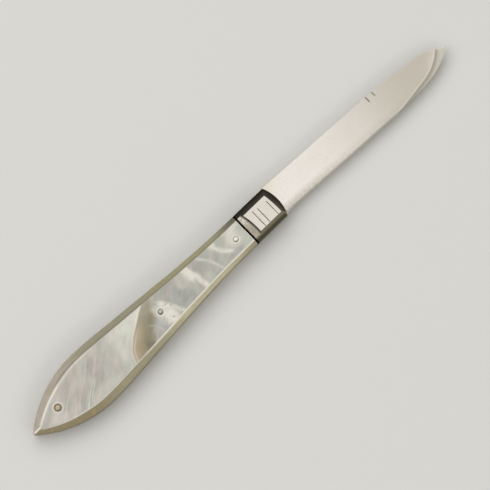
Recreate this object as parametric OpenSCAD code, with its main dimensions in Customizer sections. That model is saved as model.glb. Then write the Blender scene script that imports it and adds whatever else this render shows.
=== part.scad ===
// Folding fruit knife with a silver blade, silver bolsters and mother-of-pearl scales.
// It lies open on its rear face: +X runs from butt to blade tip, +Y is the spring side
// and +Z is up. All sizes are in millimetres. Places along the handle are first given
// from the butt, and the last step moves the middle of the open knife to the origin.

/* [Handle] */
// Length of the handle from the butt to the front of the bolsters
handle_len = 86.2; // [82:0.2:92]
// Greatest width of the handle
handle_w = 15.8; // [15:0.1:17.4]
// Distance from the butt to the widest place
widest_at = 20.5; // [18:0.5:23]
// Width across the bolsters and the neck
neck_w = 9.4; // [9:0.05:10.4]
// Radius that rounds the point of the butt
butt_r = 0.5; // [0.4:0.1:1.2]
// Radius of each side where it begins to narrow
shoulder_r = 85; // [60:5:110]
// Length of the straight stretch between shoulder and waist
straight_len = 23; // [16:1:28]

/* [Layers] */
// Width of the slot between the liners, which is also the thickness of the spring
slot_t = 1.5; // [1.3:0.05:1.8]
// Thickness of each liner
liner_t = 0.6; // [0.5:0.05:0.8]
// Thickness of each scale and of each bolster
scale_t = 2; // [1.8:0.1:2.6]

/* [Bevelled edges] */
// Width of the bevel of the scales at their widest place
bevel_belly = 2; // [1.6:0.1:2.4]
// Width of the bevel of the scales along the neck
bevel_neck = 1.4; // [1.1:0.05:1.8]
// Width of the bevel along the sides of the bolsters
bevel_bolster = 1.75; // [1.5:0.05:2.1]
// Distance from the butt to the point where the bevels meet
bevel_butt = 2.5; // [2:0.1:3.2]
// How far every bevel drops from the face of the handle
bevel_drop = 1.3; // [1:0.1:1.5]
// Radius that rounds the point of the flat face, where the bevels meet at the butt
face_r = 0.1; // [0.05:0.05:0.3]

/* [Bolsters] */
// Length of each bolster
bolster_len = 11.1; // [10:0.1:12]
// Gap between the end of the scale and the bolster
seam = 0.45; // [0.1:0.05:0.6]
// Radius of the rounded front end, seen from above
front_r = 10.9; // [9:0.1:14]
// Greatest width of the bevel at the front end
bevel_front = 1.6; // [1.2:0.05:1.9]
// Radius of the inner side of that bevel
front_edge_r = 30; // [20:1:45]
// Depth of the step cut across the rear end
step_d = 0.35; // [0.2:0.05:0.5]
// Length of that step
step_len = 2.3; // [1.6:0.1:2.6]
// Radius of the wall of the step, seen from above
step_r = 21; // [16:1:40]
// How far below the middle line that wall, and the front bevel, bow furthest forwards
bow_low = 2; // [0:0.1:3]
// Places of the engraved lines, from the rear end of the bolster
lines_at = [4.1, 5.6, 8.5]; // [3.5:0.05:9]
// Length of each engraved line, from its end on the slot side
line_lengths = [5.05, 4.65, 4.5]; // [2:0.05:5.5]
// How far below the middle line the engraved lines begin
line_low = 2.85; // [2.4:0.05:2.9]
// Width of an engraved line
line_w = 0.15; // [0.1:0.01:0.26]

/* [Blade] */
// Width of the blade
blade_w = 8.76; // [8.2:0.02:9.6]
// Thickness of the tang and of the spine at the bolsters
blade_t = 1.4; // [1.2:0.02:1.44]
// Thickness just behind the edge, at the bolsters
edge_t = 0.44; // [0.38:0.02:0.6]
// Angle at which the blade thins towards its tip
thinning = 0.06; // [0.02:0.01:0.12]
// Distance from the butt to the tip when the blade is closed
tip_room = 15.7; // [14.5:0.1:20]
// Height of the tip above the line of the edge
tip_rise = 4.98; // [4.2:0.02:6]
// Angle by which the open blade drops from the line of the handle
drop = 2.5; // [0:0.1:4]
// Radius of the first curve of the edge
belly_r = 120; // [70:5:130]
// Angle that the first curve of the edge turns through
belly_turn = 7.3; // [6:0.1:10]
// Radius of the second curve of the edge, up to the tip
point_r = 19.5; // [15:0.5:24]
// Radius of the first curve of the spine
spine_r = 200; // [120:5:240]
// Angle that the first curve of the spine turns through
spine_turn = 5.6; // [4.5:0.1:7]
// Slope at the steep end of the nose, where its second curve ends
clip_angle = 35; // [30:1:40]
// Length of the straight stretch at that slope
clip_len = 0.5; // [0.2:0.1:1]
// Length of the beak, the short straight stretch up to the tip
beak_len = 2.1; // [1.4:0.1:2.6]
// Slope of the beak
beak_angle = 16.5; // [10:0.5:24]
// Place where the inner side of the point facet begins to bend, seen from the tip
facet_at = [-10.1, -3.04]; // [-12:0.02:-2]
// Slope of the straight part of that inner side
facet_slope = 10.7; // [8:0.1:14]
// Radius of its bent part
facet_r = 13.2; // [11:0.1:16]
// Angle between the facet and the face of the blade
facet_angle = 6; // [4:0.1:7]
// Width of the bevel along the straight edge
edge_bevel = 0.4; // [0.2:0.05:0.7]
// Angle between that bevel and the face of the blade
edge_angle = 7; // [4:0.5:9]
// How far in front of the bolsters the edge begins to flare down towards the kick
flare_len = 1.8; // [1:0.1:3]
// Distance from the bolsters to the middle of the nail nick
nick_at = 12; // [9:0.5:18]
// Distance from the spine to the middle of the nail nick
nick_down = 1.3; // [1.1:0.1:2]
// Radius of the cutter that made the nail nick
nick_r = 26; // [18:1:34]
// Depth of the nail nick
nick_d = 0.35; // [0.2:0.05:0.45]
// Thickness of the cutter that made the nail nick
nick_w = 0.9; // [0.6:0.1:1.2]
// Angle at which that cutter leaned
nick_tilt = 25; // [15:1:35]

/* [Tang and spring] */
// Distance from the front of the bolsters back to the pivot
pivot_back = 6.2; // [5.6:0.1:7]
// How far the pivot lies from the middle line, towards the slot
pivot_low = 1; // [0.7:0.05:1.3]
// Angle that the blade turns through from open to closed
close_angle = 178; // [176:0.5:180]
// Depth of the spring where it lies on the tang
spring_h = 2.4; // [2:0.1:2.8]
// Depth of the spring at its thickest place, behind the widest place of the handle
spring_belly = 3.1; // [2.6:0.1:3.6]
// Distance from the pivot to the front end of the spring
spring_over = 2.6; // [2:0.1:3.2]
// Gap between the closed edge and the spring
edge_room = 0.58; // [0.4:0.02:0.9]
// How far the end of the tang stands out past its two flats
cam_rise = 0.25; // [0:0.05:0.5]
// How much the corners of the tang stand out past its flats
cam_corner = 1; // [0.7:0.05:1.2]
// Distance that the kick ends behind the front of the bolsters
kick_back = 0.8; // [0.2:0.1:1.2]
// Distance from the front of the bolsters back to the end of the flat-sided tang
tang_back = 1.5; // [1:0.1:1.8]
// Gap between the tip of the closed blade and the tail of the spring
tail_gap = 1.9; // [1.4:0.1:2.4]
// Radius of the inner corner between tail and arm of the spring
well_r = 9.2; // [8:0.1:10]
// Distance from the butt to the hidden pin of the spring
spring_pin_at = 36; // [32:1:44]
// Radius of the hidden pin of the spring
spring_pin_r = 0.6; // [0.5:0.05:0.8]

/* [Pins] */
// Radius of the pivot pin
pivot_r = 1.1; // [0.9:0.05:1.4]
// Radius of the butt pin
butt_pin_r = 0.72; // [0.6:0.02:0.85]
// Place of the butt pin, along and across the handle
butt_pin_at = [9.1, 0.55]; // [-0.5:0.05:10]
// Radius of the small pins
pin_r = 0.55; // [0.45:0.05:0.65]
// Place of the middle pins, along and across the handle
middle_pin_at = [44.8, 0]; // [-0.5:0.05:48]
// Distance from the end of the scale to the neck pins, and their place across
neck_pin_at = [3.3, -0.05]; // [-0.5:0.05:6]
// How much wider than its pin the countersink opens at the face
sink_w = 0.3; // [0.2:0.02:0.36]
// Depth of the countersink round a pin
sink_d = 0.3; // [0.2:0.05:0.4]
// Height of the domed end of a pin
dome_h = 0.12; // [0.06:0.02:0.18]

/* [Fits] */
// Clearance between the pivot pin and the tang, all round
pivot_fit = 0.04; // [0.02:0.01:0.08]
// Clearance between a fixed pin and its hole, all round
pin_fit = 0.01; // [0.005:0.005:0.02]
// Clearance between the tang and the spring
spring_fit = 0.02; // [0.01:0.01:0.05]

/* [Hidden] */
$fn = 96;

SILVER = [0.86, 0.85, 0.82];
STEEL = [0.56, 0.57, 0.58];
PEARL = [0.85, 0.87, 0.83];
// How far a cutting shape runs past what it cuts
past = 1;
// Number of sides of the large circles
large_fn = 256;

half_w = handle_w / 2;
half_neck = neck_w / 2;
bolster_x = handle_len - bolster_len;
scale_end = bolster_x - seam;
total_t = slot_t + 2 * liner_t + 2 * scale_t;
mid_z = total_t / 2;

pivot_x = handle_len - pivot_back;
pivot_y = -pivot_low;
// Underside of the spring over the tang, and the distance of the tang's flats from the pivot
spring_y = half_neck - spring_h;
flat_d = spring_y - spring_fit - pivot_y;
edge_y = edge_room - flat_d;
spine_y = edge_y + blade_w;
tip_y = edge_y + tip_rise;
tip_x = pivot_x - tip_room;
kick_x = pivot_back - kick_back;
tang_front = pivot_back - tang_back;
// The tip of the open blade, which is the far end of the knife
overall_len = pivot_x + tip_x * cos(drop) + tip_y * sin(drop);

neck_pin = [scale_end - neck_pin_at[0], neck_pin_at[1]];

// Points along a circular arc; first is 1 where the arc before it ends at the same point
function arc(c, r, from, to, steps, first = 0) =
    [for (i = [first:steps]) let (a = from + (to - from) * i / steps) c + r * [cos(a), sin(a)]];

// Points between two others on a straight line
function between(p, q, steps) = [for (i = [1:steps - 1]) p + (q - p) * i / steps];

// One side of a handle outline from its point at x0 to the end of the scale: a rounded
// point, a long arc to the widest place, a shoulder, a straight stretch and a waist that
// ends parallel to the middle line. Half widths are wide at the belly and thin at the neck.
// The straight stretch has points too, because the bevel beside it twists evenly.
function side(x0, point, wide, thin) =
    let (
        run = widest_at - x0 - point,
        r = (run * run + wide * wide - point * point) / (2 * (wide - point)),
        meet = atan2(r - wide, -run),
        length = scale_end - widest_at,
        turn = 2 * atan((wide - thin) / (length + straight_len)),
        waist_r = (length - straight_len * cos(turn)) / sin(turn) - shoulder_r,
        shoulder = arc([widest_at, wide - shoulder_r], shoulder_r, 90, 90 - turn, 3, 1),
        waist = arc([scale_end, thin + waist_r], waist_r, 270 - turn, 270, 10)
    )
    concat(
        arc([x0 + point, 0], point, 180, meet, 3),
        arc([widest_at, wide - r], r, meet, 90, 14, 1),
        shoulder,
        between(shoulder[2], waist[0], 6),
        waist
    );

function both_sides(p) = concat(p, [for (i = [len(p) - 1:-1:1]) [p[i][0], -p[i][1]]]);

OUTER = side(0, butt_r, half_w, half_neck);
FLAT = side(bevel_butt, face_r, half_w - bevel_belly, half_neck - bevel_neck);

// Half width of the handle at a place along it
function side_y(x) = lookup(x, OUTER);

// Inner side of the arm of the spring, a straight line from the tail's corner to the tang
well_x = pivot_x - tip_x - tail_gap + well_r;
well_y = half_w - spring_belly;
arm_end = pivot_x - kick_x - past;
function arm_y(x) = well_y + (spring_y - well_y) * (x - well_x) / (arm_end - well_x);
spring_pin = [spring_pin_at, (side_y(spring_pin_at) + arm_y(spring_pin_at)) / 2];

module to_middle() {
    translate([-overall_len / 2, 0, 0]) children();
}

// A piece that is drawn from the outer face of its liner upwards, on the front side
module front_side() {
    to_middle() translate([0, 0, mid_z + slot_t / 2 + liner_t]) children();
}

module rear_side() {
    to_middle() translate([0, 0, mid_z - slot_t / 2 - liner_t]) mirror([0, 0, 1]) children();
}

// What the rounded front end leaves of a plan that runs on past it
module front_round() {
    difference() {
        children();
        difference() {
            translate([handle_len - front_r, -half_w]) square([front_r + 2 * past, handle_w]);
            translate([handle_len - front_r, 0]) circle(r = front_r);
        }
    }
}

module handle_plan() {
    end = handle_len + past;
    front_round() polygon(both_sides(concat(OUTER, [[end, half_neck]])));
}

module bore(at, r, depth) {
    translate([at[0], at[1], -past]) cylinder(r = r + pin_fit, h = depth + 2 * past);
}

module liner() {
    difference() {
        linear_extrude(liner_t) handle_plan();
        bore([pivot_x, pivot_y], pivot_r, liner_t);
        bore(spring_pin, spring_pin_r, liner_t);
        bore(butt_pin_at, butt_pin_r, liner_t);
        bore(middle_pin_at, pin_r, liner_t);
        bore(neck_pin, pin_r, liner_t);
    }
}

// A plate with upright sides below and a bevel above, whose face is the second outline
module bevelled_plate(outline, face, thickness, drop_z) {
    low = both_sides(outline);
    top = both_sides(face);
    n = len(low);
    polyhedron(
        points = concat(
            [for (p = low) [p[0], p[1], 0]],
            [for (p = low) [p[0], p[1], thickness - drop_z]],
            [for (p = top) [p[0], p[1], thickness]]
        ),
        faces = concat(
            [[for (i = [n - 1:-1:0]) i]],
            [[for (i = [0:n - 1]) 2 * n + i]],
            [for (i = [0:n - 1]) let (j = (i + 1) % n) [i, j, n + j, n + i]],
            [for (i = [0:n - 1]) let (j = (i + 1) % n) [n + i, n + j, 2 * n + j]],
            [for (i = [0:n - 1]) let (j = (i + 1) % n) [n + i, 2 * n + j, 2 * n + i]]
        )
    );
}

module countersunk_bore(at, r) {
    bore(at, r, scale_t);
    translate([at[0], at[1], scale_t - sink_d])
        cylinder(r1 = r + pin_fit, r2 = r + sink_w, h = sink_d);
}

module scale_plate() {
    difference() {
        bevelled_plate(OUTER, FLAT, scale_t, bevel_drop);
        countersunk_bore(butt_pin_at, butt_pin_r);
        countersunk_bore(middle_pin_at, pin_r);
        countersunk_bore(neck_pin, pin_r);
    }
}

// Lines cut across the face of the bolster, which also cross the end of the pivot pin
module engraved_lines() {
    for (i = [0:len(lines_at) - 1])
        translate([bolster_x + lines_at[i], -line_low, scale_t])
            rotate([0, 45, 0])
                translate([-line_w / 2, 0, -line_w / 2]) cube([line_w, line_lengths[i], line_w]);
}

// Section of a bolster, wide at the liner and bevelled along both sides
module bolster_section() {
    polygon([
        [-half_neck, 0],
        [half_neck, 0],
        [half_neck, scale_t - bevel_drop],
        [half_neck - bevel_bolster, scale_t],
        [bevel_bolster - half_neck, scale_t],
        [-half_neck, scale_t - bevel_drop]
    ]);
}

module front_bevel() {
    slope = bevel_drop / bevel_front;
    reach = 2 * bevel_front;
    translate([handle_len - bevel_front - front_edge_r, -bow_low, scale_t])
        rotate_extrude($fn = large_fn)
            polygon([
                [front_edge_r, 0],
                [front_edge_r + reach, -slope * reach],
                [front_edge_r + reach, past],
                [front_edge_r, past]
            ]);
}

// The step at the rear end has a sloping wall that bows forwards below the middle line
module rear_step() {
    translate([bolster_x + step_len - step_r - step_d, -bow_low, scale_t - step_d])
        cylinder(r1 = step_r, r2 = step_r + 2 * step_d, h = 2 * step_d);
}

module bolster() {
    difference() {
        intersection() {
            linear_extrude(scale_t) front_round()
                translate([bolster_x, -half_neck]) square([bolster_len + past, neck_w]);
            translate([bolster_x - past, 0, 0])
                rotate([90, 0, 90])
                    linear_extrude(bolster_len + 2 * past) bolster_section();
        }
        front_bevel();
        rear_step();
        engraved_lines();
        bore([pivot_x, pivot_y], pivot_r, scale_t);
    }
}

// The blade is drawn round its pivot, with its edge along -Y, before it is set in place.
// The edge curves up to the tip in two arcs. The spine curves down in two, to the beak.
function arc_belly() =
    let (
        rise = tip_rise - belly_r * (1 - cos(belly_turn)),
        end = acos(cos(belly_turn) - rise / point_r),
        c2 = [tip_x - point_r * sin(end), tip_y + point_r * cos(end)],
        meet = c2 + point_r * [sin(belly_turn), -cos(belly_turn)],
        c1 = meet + belly_r * [-sin(belly_turn), cos(belly_turn)]
    )
    concat(
        arc(c1, belly_r, 270, 270 + belly_turn, 8),
        arc(c2, point_r, 270 + belly_turn, 270 + end, 12, 1)
    );

function arc_spine() =
    let (
        beak = [tip_x, tip_y] + beak_len * [-cos(beak_angle), sin(beak_angle)],
        clip = beak + clip_len * [-cos(clip_angle), sin(clip_angle)],
        fall = spine_y - clip[1] - spine_r * (1 - cos(spine_turn)),
        nose_r = fall / (cos(spine_turn) - cos(clip_angle)),
        c2 = clip - nose_r * [sin(clip_angle), cos(clip_angle)],
        meet = c2 + nose_r * [sin(spine_turn), cos(spine_turn)],
        c1 = meet - spine_r * [sin(spine_turn), cos(spine_turn)]
    )
    concat(
        [beak],
        arc(c2, nose_r, 90 - clip_angle, 90 - spine_turn, 6),
        arc(c1, spine_r, 90 - spine_turn, 90, 8, 1)
    );

// The same points once the blade drops from the line of the handle
function dropped(p) =
    [for (q = p) [cos(drop) * q[0] + sin(drop) * q[1], cos(drop) * q[1] - sin(drop) * q[0]]];

// The tang has one flat under the spring when the blade is open, one when it is closed and
// one at its end. The closed flat runs on to the kick, which keeps the edge off the spring.
function closed_flat(x) = -(flat_d + sin(180 - close_angle) * x) / cos(180 - close_angle);
function spine_line(x) = (spine_y - x * sin(drop)) / cos(drop);

// The edge flares down to the kick in an arc that begins along the edge, at flare_x
function arc_flare() =
    let (
        flare_x = pivot_back + flare_len,
        low = closed_flat(kick_x),
        run = flare_x - (cos(drop) * kick_x - sin(drop) * low),
        fall = edge_y - (cos(drop) * low + sin(drop) * kick_x),
        r = (run * run + fall * fall) / (2 * fall)
    )
    arc([flare_x, edge_y - r], r, acos(-run / r), 90, 5);

module blade_plan() {
    tang_end = -flat_d - cam_rise;
    polygon(concat(
        [[tang_end, flat_d], [tang_end, closed_flat(tang_end)]],
        dropped(concat(arc_flare(), arc_belly())),
        dropped(arc_spine()),
        [[spring_over, spine_line(spring_over)], [spring_over, flat_d]]
    ));
}

// What the corners at the end of the tang lose, so that they are parts of a circle round the pivot
module tang_corners() {
    size = 2 * flat_d;
    difference() {
        translate([-size, -size]) square([size, 2 * size]);
        circle(r = flat_d + cam_corner);
    }
}

// A slab above a plane that leans down towards -Y, from x0 to x1
module slope_down(angle, x0, x1) {
    rotate([angle, 0, 0]) translate([x0, -tip_x, 0]) cube([x1 - x0, tip_x, blade_t]);
}

// The facet at the point lies below a straight line and, in front of that, outside an arc
module point_facet() {
    out = facet_r - facet_at[0];
    translate([tip_x + facet_at[0], tip_y + facet_at[1], 0]) rotate([0, 0, facet_slope]) {
        slope_down(facet_angle, -tip_x, 0);
        intersection() {
            translate([0, facet_r, 0])
                rotate_extrude($fn = large_fn)
                    polygon([
                        [facet_r, 0],
                        [out, (facet_r - out) * tan(facet_angle)],
                        [out, past],
                        [facet_r, past]
                    ]);
            translate([0, -tip_x, -tip_x]) cube(2 * tip_x);
        }
    }
}

// What is ground off one face: above the flat, above the point facet, above the edge bevel.
// The face is at its full height on the spine beside the bolsters.
module ground_off() {
    grind = atan((blade_t - edge_t) / 2 / blade_w);
    reach = 2 * tip_x;
    translate([pivot_back, spine_y, blade_t / 2])
        rotate([grind, 0, 0]) rotate([0, thinning, 0])
            translate([-pivot_back, -spine_y, 0]) {
                translate([-reach, -reach, 0]) cube([2 * reach, 2 * reach, blade_t]);
                point_facet();
                translate([0, edge_y + edge_bevel, 0]) slope_down(edge_angle, -reach, reach);
            }
}

// Both faces are ground only in front of the flat-sided tang
module ground_faces() {
    reach = 2 * tip_x;
    intersection() {
        rotate([0, 0, -drop]) {
            ground_off();
            mirror([0, 0, 1]) ground_off();
        }
        translate([tang_front, -reach, -reach]) cube(2 * reach);
    }
}

module nail_nick() {
    translate([pivot_back + nick_at, spine_y - nick_down, -blade_t / 2 + nick_d - nick_r])
        rotate([90 + nick_tilt, 0, 0])
            cylinder(r = nick_r, h = nick_w, center = true, $fn = large_fn);
}

module set_blade() {
    to_middle() translate([pivot_x, pivot_y, mid_z]) children();
}

module blade() {
    color(SILVER) set_blade() difference() {
        translate([0, 0, -blade_t / 2]) linear_extrude(blade_t) difference() {
            blade_plan();
            tang_corners();
        }
        ground_faces();
        rotate([0, 0, -drop]) nail_nick();
        translate([0, 0, -blade_t]) cylinder(r = pivot_r + pivot_fit, h = 2 * blade_t);
    }
}

// The room for the folded blade, cut out of the handle's plan to leave the spring
module blade_room() {
    end = pivot_x + spring_over;
    polygon(concat(
        [[well_x - well_r, -handle_w], [well_x - well_r, well_y - well_r]],
        arc([well_x, well_y - well_r], well_r, 180, 90, 12, 1),
        [[arm_end, spring_y], [end + past, spring_y], [end + past, -handle_w]]
    ));
}

module back_spring() {
    color(STEEL) to_middle() translate([0, 0, mid_z - slot_t / 2]) difference() {
        linear_extrude(slot_t) difference() {
            intersection() {
                handle_plan();
                translate([-past, -handle_w])
                    square([pivot_x + spring_over - spring_fit + past, 2 * handle_w]);
            }
            blade_room();
        }
        bore(spring_pin, spring_pin_r, slot_t);
        bore(butt_pin_at, butt_pin_r, slot_t);
    }
}

module front_liner() {
    color(SILVER) to_middle() translate([0, 0, mid_z + slot_t / 2]) liner();
}

module rear_liner() {
    color(SILVER) to_middle() translate([0, 0, mid_z - slot_t / 2 - liner_t]) liner();
}

module front_bolster() {
    color(SILVER) front_side() bolster();
}

module rear_bolster() {
    color(SILVER) rear_side() bolster();
}

module front_scale() {
    color(PEARL) front_side() scale_plate();
}

module rear_scale() {
    color(PEARL) rear_side() scale_plate();
}

module pivot_pin() {
    color(SILVER) difference() {
        to_middle() translate([pivot_x, pivot_y, 0]) cylinder(r = pivot_r, h = total_t);
        front_side() engraved_lines();
        rear_side() engraved_lines();
    }
}

module spring_pin_piece() {
    color(STEEL) to_middle()
        translate([spring_pin[0], spring_pin[1], scale_t])
            cylinder(r = spring_pin_r, h = slot_t + 2 * liner_t);
}

// A pin that is domed at its upper end, from the height low to the height high
module domed_pin(r, low, high) {
    dome_r = (r * r + dome_h * dome_h) / (2 * dome_h);
    edge = asin(r / dome_r);
    rotate_extrude()
        polygon(concat(
            [[0, low], [r, low]],
            arc([0, high - dome_r], dome_r, 90 - edge, 90, 5)
        ));
}

module butt_pin() {
    color(SILVER) to_middle() translate([butt_pin_at[0], butt_pin_at[1], mid_z]) {
        domed_pin(butt_pin_r, 0, mid_z);
        mirror([0, 0, 1]) domed_pin(butt_pin_r, 0, mid_z);
    }
}

module small_pin(at) {
    translate([at[0], at[1], 0]) domed_pin(pin_r, -liner_t, scale_t);
}

module front_middle_pin() {
    color(SILVER) front_side() small_pin(middle_pin_at);
}

module rear_middle_pin() {
    color(SILVER) rear_side() small_pin(middle_pin_at);
}

module front_neck_pin() {
    color(SILVER) front_side() small_pin(neck_pin);
}

module rear_neck_pin() {
    color(SILVER) rear_side() small_pin(neck_pin);
}

blade();
back_spring();
front_liner();
rear_liner();
front_bolster();
rear_bolster();
front_scale();
rear_scale();
pivot_pin();
spring_pin_piece();  // spring_pin
butt_pin();
front_middle_pin();
rear_middle_pin();
front_neck_pin();
rear_neck_pin();
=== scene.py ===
"""Looks for the folding fruit knife: finishes, camera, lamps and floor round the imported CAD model."""
import math

import bpy
from mathutils import Matrix, Vector


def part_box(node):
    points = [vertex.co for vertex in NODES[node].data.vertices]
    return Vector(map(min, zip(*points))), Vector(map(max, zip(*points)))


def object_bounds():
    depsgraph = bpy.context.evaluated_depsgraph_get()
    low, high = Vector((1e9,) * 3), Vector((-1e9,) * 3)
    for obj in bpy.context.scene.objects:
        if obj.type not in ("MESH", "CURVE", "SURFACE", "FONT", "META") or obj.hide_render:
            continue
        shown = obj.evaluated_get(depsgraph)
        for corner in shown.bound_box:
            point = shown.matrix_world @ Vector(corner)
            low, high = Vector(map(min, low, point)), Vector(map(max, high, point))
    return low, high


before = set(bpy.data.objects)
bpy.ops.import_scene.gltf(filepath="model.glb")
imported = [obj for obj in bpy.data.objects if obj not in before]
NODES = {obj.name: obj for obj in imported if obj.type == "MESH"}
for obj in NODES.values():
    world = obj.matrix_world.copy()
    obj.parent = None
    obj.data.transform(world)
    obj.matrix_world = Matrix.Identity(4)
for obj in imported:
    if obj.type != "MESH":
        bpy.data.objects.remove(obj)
cad_low, cad_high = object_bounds()

MM = 0.001

# Places on the knife in millimetres, read from the frame. Patterns are laid out from the butt.
BUTT_X = cad_low.x / MM
MID_Z = (cad_low.z + cad_high.z) / 2 / MM
FACE_Z = cad_high.z / MM


def centre(node):
    """Middle of a node's box, in millimetres from the butt, the middle line and the floor."""
    low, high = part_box(node)
    mid = (low + high) / 2 / MM
    return Vector((mid.x - BUTT_X, mid.y, mid.z))


BUTT_PIN = centre("butt_pin")
MIDDLE_PIN = centre("front_middle_pin")
NECK_PIN = centre("front_neck_pin")
BOLSTER_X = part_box("front_bolster")[0].x / MM - BUTT_X
SCALE_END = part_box("front_scale")[1].x / MM - BUTT_X


# Node helpers

class Shader:
    """Builds one node tree. Values may be numbers, tuples or the sockets of other nodes."""

    def __init__(self, tree):
        self.tree = tree
        tree.nodes.clear()

    def node(self, kind, inputs=None, **settings):
        n = self.tree.nodes.new(kind)
        for key, value in settings.items():
            setattr(n, key, value)
        for key, value in (inputs or {}).items():
            self.put(n.inputs[key], value)
        return n

    def put(self, socket, value):
        if isinstance(value, bpy.types.NodeSocket):
            self.tree.links.new(value, socket)
        else:
            socket.default_value = value

    def maths(self, operation, *values):
        n = self.node("ShaderNodeMath", operation=operation)
        for socket, value in zip(n.inputs, values):
            self.put(socket, value)
        return n.outputs[0]

    def add(self, a, b):
        return self.maths("ADD", a, b)

    def sub(self, a, b):
        return self.maths("SUBTRACT", a, b)

    def absolute(self, value):
        return self.maths("ABSOLUTE", value)

    def mul(self, *values):
        product = values[0]
        for value in values[1:]:
            product = self.maths("MULTIPLY", product, value)
        return product

    def ramp(self, value, low, high, to_low=0.0, to_high=1.0):
        """Smooth step from to_low at low to to_high at high."""
        n = self.node("ShaderNodeMapRange", {0: value, 1: low, 2: high, 3: to_low, 4: to_high},
                      interpolation_type="SMOOTHSTEP")
        return n.outputs[0]

    def fade(self, value, low, high):
        """Smooth step down from 1 at low to 0 at high."""
        return self.ramp(value, low, high, 1.0, 0.0)

    def band(self, value, at, half):
        """1 where value is at, fading to 0 at a distance of half on either side."""
        return self.fade(self.absolute(self.sub(value, at)), 0.0, half)

    def between(self, value, low, high, soft):
        """1 from low to high, rising and falling over a distance of soft on each side of both."""
        rise = self.ramp(value, low - soft, low + soft)
        return self.mul(rise, self.fade(value, high - soft, high + soft))

    def mix(self, factor, a, b):
        """The colour a where factor is 0, and b where it is 1."""
        n = self.node("ShaderNodeMix", data_type="RGBA", clamp_factor=True)
        self.put(n.inputs[0], factor)
        self.put(n.inputs[6], a)
        self.put(n.inputs[7], b)
        return n.outputs[2]

    def noise(self, vector, scale, detail=2.0, roughness=0.5):
        n = self.node("ShaderNodeTexNoise", {"Vector": vector, "Scale": scale, "Detail": detail,
                                             "Roughness": roughness})
        return n.outputs["Fac"]

    def moved(self, vector, location=(0, 0, 0), rotation=(0, 0, 0), scale=(1, 1, 1)):
        n = self.node("ShaderNodeMapping", {"Vector": vector, "Location": location, "Rotation": rotation,
                                            "Scale": scale})
        return n.outputs[0]

    def split(self, vector):
        return self.node("ShaderNodeSeparateXYZ", {0: vector}).outputs

    def combine(self, x, y, z):
        return self.node("ShaderNodeCombineXYZ", {0: x, 1: y, 2: z}).outputs[0]

    def place(self):
        """Place on the knife in millimetres, with x from the butt."""
        here = self.node("ShaderNodeTexCoord").outputs["Object"]
        return self.moved(here, (-BUTT_X, 0, 0), scale=(1 / MM, 1 / MM, 1 / MM))

    def normal(self):
        """The three parts of the surface's direction on the knife."""
        return self.split(self.node("ShaderNodeTexCoord").outputs["Normal"])

    def outside_circle(self, x, y, centre_x, centre_y, radius):
        """Distance outside a circle, which is negative inside it."""
        across, along = self.sub(x, centre_x), self.sub(y, centre_y)
        squares = self.add(self.mul(across, across), self.mul(along, along))
        return self.sub(self.maths("SQRT", squares), radius)

    def streaks(self, vector, angle, scale, stretch=0.12, detail=3.0, roughness=0.6):
        """Noise drawn out along a direction in the plane of the face, in degrees from x."""
        turned = self.moved(vector, rotation=(0, 0, -math.radians(angle)))
        return self.noise(self.moved(turned, scale=(stretch, 1.0, 1.0)), scale, detail, roughness)

    def patch(self, x, y, at, size, soft=0.5):
        """1 inside an ellipse round the place at, fading to 0 across its rim."""
        across = self.maths("DIVIDE", self.sub(x, at[0]), size[0])
        along = self.maths("DIVIDE", self.sub(y, at[1]), size[1])
        return self.fade(self.outside_circle(across, along, 0.0, 0.0, 1.0), -soft, soft)

    def either(self, a, b):
        return self.maths("MAXIMUM", a, b)

    def choose(self, flag, a, b):
        """The value a where flag is 1, and b where it is 0."""
        return self.add(self.mul(flag, a), self.mul(self.sub(1.0, flag), b))

    def bump(self, height, depth):
        """Bump from a height of 0 to 1 that stands for depth millimetres."""
        n = self.node("ShaderNodeBump", {"Height": height, "Strength": 1.0, "Distance": depth * MM})
        return n.outputs[0]

    def surface(self, **inputs):
        """The Principled shader and the output, with inputs named as the shader names them."""
        n = self.node("ShaderNodeBsdfPrincipled")
        for key, value in inputs.items():
            self.put(n.inputs[key.replace("_", " ")], value)
        self.node("ShaderNodeOutputMaterial", {"Surface": n.outputs[0]})


def srgb(red, green, blue):
    """A colour as it shows on screen, from 0 to 255, as linear values."""
    def linear(c):
        c /= 255
        return c / 12.92 if c <= 0.04045 else ((c + 0.055) / 1.055) ** 2.4
    return (linear(red), linear(green), linear(blue), 1.0)


def new_material(name):
    material = bpy.data.materials.new(name)
    material.use_nodes = True
    return material, Shader(material.node_tree)


def below_face(s, z):
    """Depth below the nearer face of the handle, front or rear."""
    return s.sub(FACE_Z - MID_Z, s.absolute(s.sub(z, MID_Z)))


# Silver

# Scales of the noise per millimetre, and depth of the scratches in millimetres
CLOUD_SCALE = 0.12
SCRATCH_SCALE = 16.0
SCRATCH_DEPTH = 0.0012


def silver(name, bright, dark, rough, grain_angle, tarnish, marks=None):
    """Polished metal with faint clouds of tarnish and fine scratches along one direction."""
    material, s = new_material(name)
    p = s.place()
    cloud = s.noise(p, CLOUD_SCALE, 3.0, 0.55)
    scratches = s.streaks(p, grain_angle, SCRATCH_SCALE, 0.05)
    colour = s.mix(s.mul(s.ramp(cloud, 0.35, 0.8), tarnish), bright, dark)
    if marks:
        colour = marks(s, p, colour)
    roughness = s.ramp(scratches, 0.3, 0.7, rough - 0.03, rough + 0.05)
    s.surface(Base_Color=colour, Metallic=1.0, Roughness=roughness,
              Normal=s.bump(scratches, SCRATCH_DEPTH))
    return material


# The blade is described from its tip, in its own direction, which drops below the handle's
BLADE_DROP = 2.5
TIP_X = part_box("blade")[1].x / MM - BUTT_X
TIP_Y = -1.28
# The inner side of the point facet: where its line bends into an arc, slope and radius
FACET_BEND = (-10.1, -3.04)
FACET_SLOPE = 10.7
FACET_R = 13.2
# The cutting edge is the line y + x * tan(BLADE_DROP) = EDGE_Y
EDGE_Y = 0.02
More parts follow.
